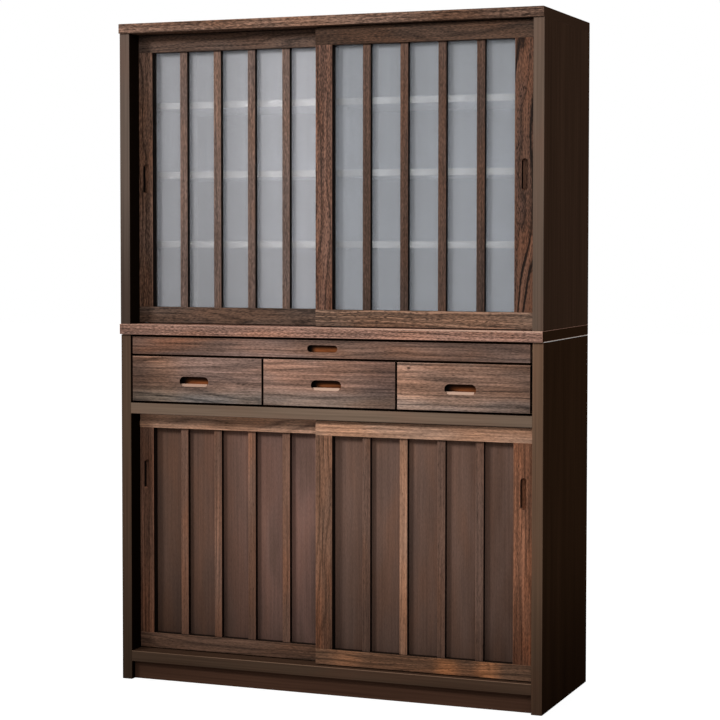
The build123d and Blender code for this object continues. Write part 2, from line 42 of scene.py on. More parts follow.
# Softboxes: place, aim, power in watts, side in metres, and spread in degrees
SOFTBOXES = {
    "key_box": ((-2.9, -3.6, 3.1), (0.25, -0.2, 1.75), 21.0, 1.0, 56.0),
    "fill_box": ((1.4, -3.6, 2.9), (0.0, -0.2, 1.8), 8.0, 1.4, 60.0),
}
BACK_STRENGTH, BACK_ELEVATION, BACK_SPREAD = 0.8, 40.0, 40.0
BACK_PLACE, BACK_HEADING = (0.0, 4.0, 4.0), 180.0

# Floor
FLOOR_REACH = 40.0
FLOOR_ALBEDO = 0.45         # what the object receives from it
FLOOR_SHADE = 0.42          # how much of its own light the camera sees, so that a soft shadow stays
FLOOR_WHITE = 0.84          # what is added to that, for the camera alone

# Places on the cabinet that the finishes follow, from its nodes
LOW, HIGH = 0, 1
X, Y, Z = 0, 1, 2
SKIN = 0.0007               # past a face, so that the face itself is counted in
BANDING = 0.0012            # how deep the banding of a board's front edge is
FLOOR_TO_TOP = (0.0, 2.0)   # any height on the cabinet


def edge_of(node, end, axis):
    """Where a node ends, in metres."""
    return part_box(node)[end][axis]


def middle_of(node, axis):
    return (edge_of(node, LOW, axis) + edge_of(node, HIGH, axis)) / 2.0


UPPER_FRONT_Y = edge_of("upper_side_left", LOW, Y)
LOWER_FRONT_Y = edge_of("lower_side_left", LOW, Y)
SHELF_FRONT_Y = edge_of("shelves", LOW, Y)

# White linings: half-width, front, bottom and top
INSIDE_X = edge_of("upper_side_right", LOW, X) + SKIN
LINING_Y = -0.128
BASE_LINING_Y = -0.07       # on the base board, clear of the doors' foot
UPPER_INSIDE = (
    INSIDE_X, LINING_Y, edge_of("upper_base_board", HIGH, Z) - SKIN, edge_of("top_board", LOW, Z) + SKIN,
)
BASE_INSIDE = (INSIDE_X, BASE_LINING_Y) + UPPER_INSIDE[2:]
LOWER_INSIDE = (
    INSIDE_X, LINING_Y, edge_of("bottom_board", HIGH, Z) - SKIN, edge_of("drawer_deck", LOW, Z) + SKIN,
)

# Finger slots of the drawers and the tray: half-width, and where their painted shade starts and ends
SLOT_HALF = 0.0432
SLOT_FRONT_Y = LOWER_FRONT_Y + SKIN
SLOT_BACK_Y = edge_of("drawer_left_front", HIGH, Y) + 0.005
SLOT_DROP, SLOT_SHIFT, SLOT_RISE = 0.0050, -0.0070, 0.0138
LIP_SHORT = 0.007           # the lip's painted highlight ends this far before the slot does


def drawer_slot(where):
    """A slot's middle across, its bottom and its top."""
    node = "drawer_" + where + "_front"
    middle_z = middle_of(node, Z) - SLOT_DROP
    return (middle_of(node, X) + SLOT_SHIFT, middle_z - SLOT_RISE, middle_z + SLOT_RISE)


TRAY_SLOT_SHIFT, TRAY_SLOT_LIFT, TRAY_SLOT_RISE = -0.0040, 0.0015, 0.0098
TRAY_SLOT_Z = middle_of("tray_front", Z) + TRAY_SLOT_LIFT
TRAY_SLOT = (TRAY_SLOT_SHIFT, TRAY_SLOT_Z - TRAY_SLOT_RISE, TRAY_SLOT_Z + TRAY_SLOT_RISE)

# Heights above which the front edges of the base and bottom boards get a pale painted highlight
BASE_CREST = edge_of("upper_base_board", HIGH, Z) - 0.0040     # above it, the front edge gets a pale painted highlight
BOTTOM_CREST = edge_of("bottom_board", HIGH, Z) - 0.0018
STILE_SPLIT_X = 0.28        # between the meeting and the outer stile of a right door

# Where the colour darkens downwards: from and to these heights, and how far
# painted shade at the foot, where the light falls off towards the floor
FOOT_SHADE = (0.0, 0.50, 0.52)
EDGE_FALL = (1.00, 1.42, 0.50)      # on the left side panel's front edge

WHITE = (1.0, 1.0, 1.0, 1.0)
INTERIOR_WHITE = (0.87, 0.88, 0.89, 1.0)
# the back panels: white melamine set grey, as painted shade inside the cabinet
BACK_SHADED_GREY = (0.56, 0.58, 0.61, 1.0)
# Glass: its tint, the right door's set darker as painted shade; its haze's change downwards, as painted shade
# on the left door and painted light on the right; and from and to which x it is lightened, and how far, as
# painted light
PANES = {
    "upper_left": ((0.560, 0.558, 0.575, 1.0), (1.0, 1.8, 0.94), (-0.50, 0.10, 1.30)),
    "upper_right": ((0.494, 0.506, 0.530, 1.0), (1.0, 1.8, 1.08), None),
}
PANE_CLEAR, PANE_INDEX = 0.76, 1.45
PANE_THROUGH = (0.55, 0.57, 0.60, 1.0)
PANE_STREAKS = (38.0, 38.0, 0.9)
OPENING_SHADE = 0.14        # painted shade inside the openings, against the outer faces
COOL_TINT = (0.88, 0.96, 1.04, 1.0)
WARM_TINT = (1.14, 1.00, 0.88, 1.0)
ORANGE_TINT = (1.50, 0.98, 0.66, 1.0)

# Layers of the finishes: what is added to the seed, the scale along the grain and across it, and the
# noise's own scale, detail and roughness
LAYERS = {
    "wander": (0.0, 0.9, 6.0, 1.6, 2.0, 0.45),
    "fibre": (2.0, 9.0, 520.0, 1.0, 2.0, 0.6),
    "streak": (5.0, 2.2, 170.0, 1.0, 3.0, 0.55),
    "cloud": (7.0, 2.4, 12.0, 1.0, 2.0, 0.5),
    "dash": (9.0, 105.0, 470.0, 1.0, 1.0, 0.5),
    "pore": (11.0, 70.0, 900.0, 1.0, 1.0, 0.5),
    "warmth": (13.0, 4.0, 16.0, 1.0, 2.0, 0.5),
    "slot": (0.0, 14.0, 170.0, 1.0, 2.0, 0.6),
    "printed_fibre": (0.0, 2.5, 240.0, 1.0, 3.0, 0.6),
    "printed_cloud": (4.0, 1.5, 22.0, 1.0, 2.0, 0.5),
    "edge_warmth": (9.0, 4.0, 14.0, 1.0, 2.0, 0.5),
    "rubbing": (0.0, 20.0, 900.0, 1.0, 2.0, 0.6),
}
SEED_STEPS = (3.17, 1.71, 0.83)     # how far a seed moves its layer
# Noises without a direction: scale, detail and roughness
SHEET_CLOUD, ORANGE_PEEL, MOULDED_GRAIN = (9.0, 3.0, 0.5), (700.0, 2.0, 0.5), (420.0, 2.0, 0.5)
FELT_FIBRES, PANE_CLOUD = (1500.0, 3.0, 0.7), (1.0, 3.0, 0.55)
MOTTLE = (0.3, 0.7)                 # between these values of a noise, a colour changes

# Wood. A pair says from and to where something comes in
RING_DEPTH, RING_WANDER, RING_SHARPNESS = 0.35, 4.0, 5.0
RING_VEIL = (0.30, 0.62)
RING_WEIGHT, FIBRE_WEIGHT, STREAK_WEIGHT, FLECK_WEIGHT, CLOUD_WEIGHT = 0.3, 0.7, 0.9, 1.5, 0.8
TONE_STOPS = (0.08, 0.5, 0.92)      # where the dark, middle and light shades lie
TINT_STOPS = (0.36, 0.5, 0.64)      # where the cool tint, none and the warm tint lie
GLEAM_PITCH, GLEAM_LINE, GLEAM_SPOTS, GLEAM_LIGHT = 1.4, (0.66, 0.98), (0.30, 0.55), 1.4
PATCH_SPOTS = (0.35, 0.60)
BAND_SOFTNESS = 0.45                # the share of its width in which a band comes in, or goes out
KNOT_HEART, KNOT_STRETCH, KNOT_COVER, KNOT_SHADE = (0.0015, 0.0055), 0.7, 0.85, 0.4
PORE_EDGE, PORE_SHADE = (0.60, 0.70), 0.32
SQUARE_ON = (0.75, 0.95)            # the normal's share along an axis that a face looks along
# Painted highlight on rounded arrises: the normal's share at which a face turns, and how pale it gets
ARRIS_TURN, ARRIS_LIGHT = (0.86, 0.985), 1.35
# Painted highlight on a front edge above a crest height: its rise, its reach along X, and its spots
CREST_RISE, CREST_REACH, CREST_SPOTS = 0.0008, (-0.2, 0.3), (0.2, 0.5)
# Painted highlight on a slot's lip: the normal's upward share at which it comes in, and at which it goes out
LIP_TURN, LIP_END = (0.45, 0.60), (0.85, 0.95)
SLOT_DARKENS = (0.45, 0.80)         # shares of a slot's height, between which its painted shade comes in
SLOT_SHADOW = (0.004, 0.024)        # from its left end
SLOT_RANGE = (0.45, 1.45)           # of its bare wood's shades

# Printed sheet
PRINT_CONTRAST, PRINT_ROUGHNESS = 0.32, (0.66, 0.78)
PRINT_FIBRE, PRINT_CLOUD = 0.6, 0.4
EDGE_WARMS, EDGE_REDDENS = (0.45, 0.70), (1.06, 0.97, 0.95)
# Painted highlight on a printed front edge above a crest height: its rise, its spots, and how pale
PRINT_CREST_RISE, PRINT_CREST_SPOTS, PRINT_CREST_LIGHT = 0.0006, (0.42, 0.58), 3.2

# Relief: strength, and depth in metres
WOOD_RELIEF, PRINT_RELIEF = (0.4, 0.0005), (0.35, 0.0003)
PEEL_RELIEF, FELT_RELIEF = (0.25, 0.0002), (0.6, 0.0004)


def srgb(red, green, blue):
    """A linear colour from 0-255 screen values."""
    def linear(value):
        value /= 255.0
        return value / 12.92 if value <= 0.04045 else ((value + 0.055) / 1.055) ** 2.4
    return (linear(red), linear(green), linear(blue), 1.0)


# Inside a finger slot: a nearly black painted shadow, a dark painted shade and the bare wood; and the pale
# painted highlight on slot lips and crests
SLOT_SHADOW_BLACK, SLOT_SHADE_BROWN = srgb(12, 7, 4), srgb(46, 24, 12)
SLOT_BARE, PAINTED_HIGHLIGHT = srgb(112, 62, 32), srgb(194, 160, 140)


# ---------------------------------------------------------------- shader node helpers

def add(tree, kind, settings=None, inputs=None):
    """A new node; inputs are values or sockets, by the input's name or index."""
    made = tree.nodes.new(kind)
    for key, value in (settings or {}).items():
        setattr(made, key, value)
    for key, value in (inputs or {}).items():
        if isinstance(value, bpy.types.NodeSocket):
            tree.links.new(value, made.inputs[key])
        else:
            made.inputs[key].default_value = value
    return made


def calc(tree, operation, a, b=0.0, c=0.0, clamp=False):
    settings = {"operation": operation, "use_clamp": clamp}
    return add(tree, "ShaderNodeMath", settings, {0: a, 1: b, 2: c}).outputs[0]


def times(tree, first, *others):
    """The product of two or more values or sockets."""
    for other in others:
        first = calc(tree, "MULTIPLY", first, other)
    return first


def inverse(tree, value):
    return calc(tree, "SUBTRACT", 1.0, value)


def mix(tree, factor, a, b, blend="MIX"):
    settings = {"data_type": "RGBA", "blend_type": blend, "clamp_factor": True}
    return add(tree, "ShaderNodeMix", settings, {0: factor, 6: a, 7: b}).outputs[2]


def tinted(tree, amount, colour, tint):
    """The colour times a tint, as far as amount says."""
    return mix(tree, amount, colour, mix(tree, 1.0, colour, tint, "MULTIPLY"))


def noise(tree, vector, scale, detail, roughness):
    inputs = {"Vector": vector, "Scale": scale, "Detail": detail, "Roughness": roughness}
    return add(tree, "ShaderNodeTexNoise", None, inputs).outputs["Fac"]


def ramp(tree, factor, stops):
    """Colours over 0-1, as (place, colour) pairs."""
    made = add(tree, "ShaderNodeValToRGB", None, {"Fac": factor})
    marks = made.color_ramp.elements
    while len(marks) < len(stops):
        marks.new(0.5)
    for mark, (position, colour) in zip(marks, stops):
        mark.position = position
        mark.color = colour
    return made.outputs["Color"]


def fade(tree, value, low, high):
    """0 below low, 1 above high, smooth between."""
    settings = {"interpolation_type": "SMOOTHSTEP"}
    made = add(tree, "ShaderNodeMapRange", settings, {0: value, 1: low, 2: high, 3: 0.0, 4: 1.0})
    return made.outputs[0]


def coordinates(tree, kind="Object"):
    return add(tree, "ShaderNodeTexCoord").outputs[kind]


def place(tree):
    """The x, y, and z sockets of the point on the piece, in metres."""
    return add(tree, "ShaderNodeSeparateXYZ", None, {0: coordinates(tree)}).outputs


def place_along(tree, axis):
    return place(tree)["XYZ".index(axis)]


def between(tree, value, low, high):
    """1 between two values."""
    return times(tree, calc(tree, "GREATER_THAN", value, low), calc(tree, "LESS_THAN", value, high))


def within(tree, half_width, front, bottom, top):
    """1 on the faces of a closed-in space: inside half_width, behind front, and from bottom to top."""
    x, y, z = place(tree)
    across = calc(tree, "LESS_THAN", calc(tree, "ABSOLUTE", x), half_width)
    behind = calc(tree, "GREATER_THAN", y, front)
    return times(tree, across, behind, between(tree, z, bottom, top))


def in_grain_order(tree, axis):
    """The sockets of the point along the grain, then across it."""
    x, y, z = place(tree)
    return {"X": (x, z, y), "Z": (z, x, y), "Y": (y, x, z)}[axis]


def layer(tree, axis, seed, name):
    """Noise that is drawn out along the grain."""
    shift, along, across, scale, detail, roughness = LAYERS[name]
    turned = add(tree, "ShaderNodeCombineXYZ", None, dict(enumerate(in_grain_order(tree, axis))))
    inputs = {
        "Vector": turned.outputs[0],
        "Location": [(seed + shift) * step for step in SEED_STEPS],
        "Scale": (along, across, across),
    }
    space = add(tree, "ShaderNodeMapping", None, inputs).outputs[0]
    return noise(tree, space, scale, detail, roughness)


def new_material(name):
    material = bpy.data.materials.new(name)
    material.use_nodes = True
    tree = material.node_tree
    return material, tree, tree.nodes["Principled BSDF"]


def finish_with(tree, shader, colour, rough, height=None, relief=(0.0, 0.0), specular=None):
    """Links a finish's colour, roughness and relief, and sets how much it reflects."""
    tree.links.new(colour, shader.inputs["Base Color"])
    tree.links.new(rough, shader.inputs["Roughness"])
    if height is not None:
        strength, depth = relief
        inputs = {"Strength": strength, "Distance": depth, "Height": height}
        tree.links.new(add(tree, "ShaderNodeBump", None, inputs).outputs[0], shader.inputs["Normal"])
    if specular is not None:
        shader.inputs["Specular IOR Level"].default_value = specular


# ---------------------------------------------------------------- finishes

def toned(mean, low=0.60, high=1.34):
    """Dark, middle and light shades round a mean 0-255 colour."""
    return [srgb(*(min(250.0, channel * share) for channel in mean)) for share in (low, 1.0, high)]


def scaled(colour, share):
    return tuple(part * share for part in colour[:3]) + (1.0,)


def mottled(tree, drawn, colour, share):
    """The colour, down to this share of it where the drawn noise is low."""
    return ramp(tree, drawn, tuple(zip(MOTTLE, (scaled(colour, share), colour))))


def deepened(tree, colour, low, high, share):
    """The colour scaled downwards, from all of it at high to this share of it at low: darker below where the
    share is under 1, lighter where it is over 1.
    """
    down = inverse(tree, fade(tree, place_along(tree, "Z"), low, high))
    return tinted(tree, down, colour, scaled(WHITE, share))


def finger_slot(tree, colour, middle, bottom, top):
    """Paints shade into a slot's own faces: bare wood low and to the right, painted shade above, a nearly
    black painted shadow at the left.
    """
    x, y, z = place(tree)
    off = calc(tree, "SUBTRACT", x, middle)
    across = calc(tree, "LESS_THAN", calc(tree, "ABSOLUTE", off), SLOT_HALF)
    inner = times(
        tree, across, between(tree, y, SLOT_FRONT_Y, SLOT_BACK_Y), between(tree, z, bottom, top),
    )
    upper = fade(tree, z, *(bottom + share * (top - bottom) for share in SLOT_DARKENS))
    left = inverse(tree, fade(tree, off, *(reach - SLOT_HALF for reach in SLOT_SHADOW)))
    grain = fade(tree, layer(tree, "X", middle, "slot"), *MOTTLE)
    bare = mix(tree, grain, *(scaled(SLOT_BARE, share) for share in SLOT_RANGE))
    shaded = mix(tree, left, mix(tree, upper, bare, SLOT_SHADE_BROWN), SLOT_SHADOW_BLACK)
    return mix(tree, inner, colour, shaded)


def wood(
    name, axis, shades, seed=0.0, rings=1.0, figure=3.0, ring_rate=62.0, lines=1.0, flecks=1.0, pores=0.6,
    hue=0.7, roughness=0.6, specular=0.05, second=None, patch=None, shaded_side=None, ends=None, arris_highlight=0.55,
    inside=None, slot=None, lip=0.0, gleam=0.0, crest=None, bands=(), knot=None, fall=None,
):
    """Stained open-grained timber.

    shades are dark, middle and light. rings is how strongly the year rings show, figure how far they
    wander; lines are the long fine lines of the grain and flecks the short dark ones. second is (axis,
    place, shades, share) for a piece whose far half has another tone, and year rings that much bolder;
    patch is (tint, strength, axis, from, to) for a warmer stretch, and each of bands (tint, axis, from,
    to, strength) for a stretch between two places. shaded_side is (axis, share) for faces that look along
    that axis, darkened against the front as painted shade; ends is the colour of the faces across X;
    arris_highlight is how far the rounded arrises are lightened, as a painted highlight; crest is a height
    above which the front edge gets a pale painted highlight; inside is a white-lined space; slot is the
    middle, bottom and top of a finger slot, whose faces get painted shade and shadow, and lip is how pale
    its slope is, as a painted highlight; gleam is how pale a strong figure's lines are; knot is the x and z
    of a small knot; fall is from and to which height the colour darkens, and how far, as painted shade
    at the foot.
    """
    material, tree, shader = new_material(name)
    dark, _, light = shades
    _, across, deep = in_grain_order(tree, axis)
    wander, fibre, streak, cloud, dash, warmth, pore = (
        layer(tree, axis, seed, kind)
        for kind in ("wander", "fibre", "streak", "cloud", "dash", "warmth", "pore")
    )

    # Year rings
    offset = calc(tree, "MULTIPLY_ADD", deep, RING_DEPTH, across)
    rise = calc(tree, "MULTIPLY_ADD", offset, ring_rate, times(tree, wander, figure * RING_WANDER))
    wave = calc(tree, "SINE", times(tree, rise, 2.0 * math.pi))
    line = calc(tree, "POWER", calc(tree, "MULTIPLY_ADD", wave, 0.5, 0.5), RING_SHARPNESS)
    veil, ringed = fade(tree, cloud, *RING_VEIL), RING_WEIGHT * rings
    if second:
        split_axis, split_at, other_shades, bolder = second
        side = calc(tree, "GREATER_THAN", place_along(tree, split_axis), split_at)
        ringed = calc(tree, "MULTIPLY_ADD", side, ringed * (bolder - 1.0), ringed)

    # Tone, from 0 where it is dark to 1 where it is light
    tone = calc(tree, "ADD", times(tree, calc(tree, "SUBTRACT", 0.25, line), times(tree, veil, ringed)), 0.5)
    weights = (
        (fibre, FIBRE_WEIGHT * lines), (streak, STREAK_WEIGHT * lines), (dash, FLECK_WEIGHT * flecks),
        (cloud, CLOUD_WEIGHT),
    )
    for part, weight in weights:
        tone = calc(tree, "ADD", times(tree, calc(tree, "SUBTRACT", part, 0.5), weight), tone)
    tone = calc(tree, "MINIMUM", calc(tree, "MAXIMUM", tone, 0.0), 1.0)
    colour = ramp(tree, tone, tuple(zip(TONE_STOPS, shades)))
    if second:
        colour = mix(tree, side, colour, ramp(tree, tone, tuple(zip(TONE_STOPS, other_shades))))
    if gleam:
        flame = calc(tree, "SINE", times(tree, rise, GLEAM_PITCH * math.pi))
        flame = times(tree, fade(tree, flame, *GLEAM_LINE), fade(tree, dash, *GLEAM_SPOTS), gleam)
        colour = mix(tree, flame, colour, scaled(light, GLEAM_LIGHT))

    # Warmer and cooler stretches
    tints = ramp(tree, warmth, tuple(zip(TINT_STOPS, (COOL_TINT, WHITE, WARM_TINT))))
    colour = tinted(tree, hue, colour, tints)
    if patch:
        tint, strength, patch_axis, start, end = patch
        reach = fade(tree, place_along(tree, patch_axis), start, end)
        spots = calc(tree, "MULTIPLY_ADD", fade(tree, warmth, *PATCH_SPOTS), 0.7, 0.3)
        colour = tinted(tree, times(tree, reach, spots, strength), colour, tint)
    for tint, band_axis, start, end, strength in bands:
        spot = place_along(tree, band_axis)
        soft = BAND_SOFTNESS * (end - start)
        rising = fade(tree, spot, start, start + soft)
        falling = fade(tree, calc(tree, "SUBTRACT", end, spot), 0.0, soft)
        colour = tinted(tree, times(tree, rising, strength, falling), colour, tint)

    # Knot and pores
    if knot:
        x, _, z = place(tree)
        aside = times(tree, calc(tree, "SUBTRACT", x, knot[0]), KNOT_STRETCH)
        above = calc(tree, "SUBTRACT", z, knot[1])
        squares = [calc(tree, "POWER", reach, 2.0) for reach in (aside, above)]
        apart = calc(tree, "SQRT", calc(tree, "ADD", *squares))
        heart = times(tree, inverse(tree, fade(tree, apart, *KNOT_HEART)), KNOT_COVER)
        colour = mix(tree, heart, colour, scaled(dark, KNOT_SHADE))
    pore = times(tree, fade(tree, pore, *PORE_EDGE), pores)
    colour = mix(tree, pore, colour, scaled(dark, PORE_SHADE))

    # Faces by the way they look: painted shade on faces along one axis, and painted highlights on arrises and
    # crest
    turned = add(tree, "ShaderNodeSeparateXYZ", None, {0: coordinates(tree, "Normal")}).outputs
    facing = [calc(tree, "ABSOLUTE", turned[index]) for index in (X, Y, Z)]
    # painted shade: faces that look along the given axis are darkened
    if shaded_side:
        shaded_axis, share = shaded_side
        aside = fade(tree, turned["XYZ".index(shaded_axis)], *SQUARE_ON)
        colour = mix(tree, aside, colour, scaled(dark, share))
    if ends:
        colour = mix(tree, fade(tree, facing[X], *SQUARE_ON), colour, ends)
    most = calc(tree, "MAXIMUM", calc(tree, "MAXIMUM", facing[X], facing[Y]), facing[Z])
    arris = inverse(tree, fade(tree, most, *ARRIS_TURN))
    colour = mix(tree, times(tree, arris, arris_highlight), colour, scaled(light, ARRIS_LIGHT))
    if crest is not None:
        # painted highlight along the front edge above the crest
        above = fade(tree, place_along(tree, "Z"), crest, crest + CREST_RISE)
        further = calc(tree, "MULTIPLY_ADD", fade(tree, place_along(tree, "X"), *CREST_REACH), 0.7, 0.15)
        highlit = times(tree, above, facing[Y], further, fade(tree, dash, *CREST_SPOTS))
        colour = mix(tree, highlit, colour, PAINTED_HIGHLIGHT)

    # Painted shade downwards and in the finger slot, the slot lip's painted highlight, and what is lined
    # white
    if fall:
        colour = deepened(tree, colour, *fall)
    if slot:
        colour = finger_slot(tree, colour, *slot)
    # painted highlight on the slot's sloped lip, which faces up towards the light
    if lip:
        flat = fade(tree, turned[Z], *LIP_END)
        slope = times(tree, fade(tree, turned[Z], *LIP_TURN), inverse(tree, flat))
        short = calc(tree, "LESS_THAN", place_along(tree, "X"), slot[0] + SLOT_HALF - LIP_SHORT)
        colour = mix(tree, times(tree, slope, short, lip), colour, PAINTED_HIGHLIGHT)
    if inside:
        colour = mix(tree, within(tree, *inside), colour, INTERIOR_WHITE)

    rough = calc(tree, "MULTIPLY_ADD", tone, -0.10, roughness + 0.05)
    rough = calc(tree, "MULTIPLY_ADD", pore, 0.2, rough, clamp=True)
    height = calc(tree, "SUBTRACT", times(tree, tone, 0.5), pore)
    finish_with(tree, shader, colour, rough, height, WOOD_RELIEF, specular)
    return material


def laminate(name, axis, face, edge, edge_y, seed, inside=None, shade=1.0, crest=None, fall=None):
    """Printed sheet over board: a quiet straight grain, with a paler band on the front edge.

    inside is the half-width, front, bottom and top of the white-lined space that it faces, and shade
    scales the colour between the front and that space: painted shade in the openings below 1, painted
    light above it; crest is a height above which the front edge gets a pale painted highlight; fall is
    from and to which height the colour darkens, and how far, as painted shade on the lower sides.
    """
    material, tree, shader = new_material(name)
    fibre, cloud = layer(tree, axis, seed, "printed_fibre"), layer(tree, axis, seed, "printed_cloud")
    tone = calc(tree, "ADD", times(tree, fibre, PRINT_FIBRE), times(tree, cloud, PRINT_CLOUD))
    colour = face
    if edge_y is not None:
        front = calc(tree, "LESS_THAN", place_along(tree, "Y"), edge_y + BANDING)
        warm = fade(tree, layer(tree, axis, seed, "edge_warmth"), *EDGE_WARMS)
        reddish = tuple(part * share for part, share in zip(edge, EDGE_REDDENS)) + (1.0,)
        colour = mix(tree, front, face, mix(tree, warm, edge, reddish))
    shades = [scaled(WHITE, share) for share in (1.0 - PRINT_CONTRAST, 1.0 + PRINT_CONTRAST)]
    colour = tinted(tree, 1.0, colour, ramp(tree, tone, tuple(zip(MOTTLE, shades))))
    if fall:
        colour = deepened(tree, colour, *fall)
    if inside:
        # faces behind the front edge scaled by shade: painted shade in the openings, painted light on the
        # bottom board's top
        opening = (inside[0], edge_y + BANDING) + FLOOR_TO_TOP
        colour = mix(tree, within(tree, *opening), colour, scaled(face, shade))
        colour = mix(tree, within(tree, *inside), colour, INTERIOR_WHITE)
    # a pale painted highlight on the front edge above the crest
    if crest is not None:
        above = fade(tree, place_along(tree, "Z"), crest, crest + PRINT_CREST_RISE)
        marks = fade(tree, cloud, *PRINT_CREST_SPOTS)
        colour = mix(tree, times(tree, above, front, marks), colour, scaled(edge, PRINT_CREST_LIGHT))
    smooth, coarse = PRINT_ROUGHNESS
    rough = calc(tree, "MULTIPLY_ADD", fibre, coarse - smooth, smooth)
    finish_with(tree, shader, colour, rough, fibre, PRINT_RELIEF, 0.0)
    return material


def melamine(name, colour, edge=None):
    """Smooth pale sheet with the faint orange-peel of melamine.

    edge is its front edges' colour left and right of the middle, and their y.
    """
    material, tree, shader = new_material(name)
    cloud = noise(tree, coordinates(tree), *SHEET_CLOUD)
    shown = ramp(tree, cloud, ((0.35, scaled(colour, 0.93)), (0.65, colour)))
    if edge:
        left, right, edge_y = edge
        x, y, _ = place(tree)
        banding = mix(tree, calc(tree, "GREATER_THAN", x, 0.0), left, right)
        shown = mix(tree, calc(tree, "LESS_THAN", y, edge_y + BANDING / 2.0), shown, banding)
    peel = noise(tree, coordinates(tree), *ORANGE_PEEL)
    rough = calc(tree, "MULTIPLY_ADD", peel, 0.16, 0.42)
    finish_with(tree, shader, shown, rough, peel, PEEL_RELIEF, 0.3)
    return material


def pane_glass(name, tint, clear, through, fall, painted_light_x):
    """Float glass with a faint haze, drawn in soft vertical streaks.

    through is what the lamps keep of their light; fall is from and to which height the haze's colour changes,
    and how far, as painted shade below 1 and painted light above it; painted_light_x is from and to which x
    it is lightened, and how far, as painted light.
    """
    material, tree, shader = new_material(name)
    inputs = {"Vector": coordinates(tree), "Scale": PANE_STREAKS}
    stretched = add(tree, "ShaderNodeMapping", None, inputs).outputs[0]
    cloud = noise(tree, stretched, *PANE_CLOUD)
    shown = ramp(tree, cloud, ((0.35, scaled(tint, 0.96)), (0.65, scaled(tint, 1.04))))
    # painted light across x, then painted shade and light by height
    if painted_light_x:
        start, end, share = painted_light_x
        shown = tinted(tree, fade(tree, place_along(tree, "X"), start, end), shown, scaled(WHITE, share))
    tree.links.new(deepened(tree, shown, *fall), shader.inputs["Base Color"])
    shader.inputs["Roughness"].default_value = 0.0
    shader.inputs["IOR"].default_value = PANE_INDEX
    shader.inputs["Transmission Weight"].default_value = clear
    open_to_light = add(tree, "ShaderNodeBsdfTransparent", None, {"Color": through}).outputs[0]
    shadow_ray = add(tree, "ShaderNodeLightPath").outputs["Is Shadow Ray"]
    inputs = {0: shadow_ray, 1: shader.outputs[0], 2: open_to_light}
    both = add(tree, "ShaderNodeMixShader", None, inputs).outputs[0]
    tree.links.new(both, tree.nodes["Material Output"].inputs["Surface"])
    return material


def plastic(name, colour, roughness):
    """Moulded plastic with a fine grain."""
    material, tree, shader = new_material(name)
    grain = noise(tree, coordinates(tree), *MOULDED_GRAIN)
    rough = calc(tree, "MULTIPLY_ADD", grain, 0.2, roughness - 0.1)
    finish_with(tree, shader, mottled(tree, grain, colour, 0.82), rough)
    return material


def felt(name, colour):
    """Short woolly fibres, matt and a little uneven in tone."""
    material, tree, shader = new_material(name)
    fibres = noise(tree, coordinates(tree), *FELT_FIBRES)
    rough = calc(tree, "MULTIPLY_ADD", fibres, 0.1, 0.88)
    finish_with(tree, shader, mottled(tree, fibres, colour, 0.75), rough, fibres, FELT_RELIEF)
    shader.inputs["Sheen Weight"].default_value = 0.4
    return material


def steel(name, colour):
    """Plated sheet steel with fine rubbing marks."""
    material, tree, shader = new_material(name)
    marks = layer(tree, "X", 1.0, "rubbing")
    finish_with(tree, shader, mottled(tree, marks, colour, 0.8), calc(tree, "MULTIPLY_ADD", marks, 0.2, 0.22))
    shader.inputs["Metallic"].default_value = 1.0
    return material


def dress(material, *names):
    """Gives CAD nodes this material in every slot."""
    for name in names:
        slots = nodes[name].data.materials
        if not slots:
            slots.append(material)
        for index in range(len(slots)):
            slots[index] = material


# ---------------------------------------------------------------- the cabinet's finishes

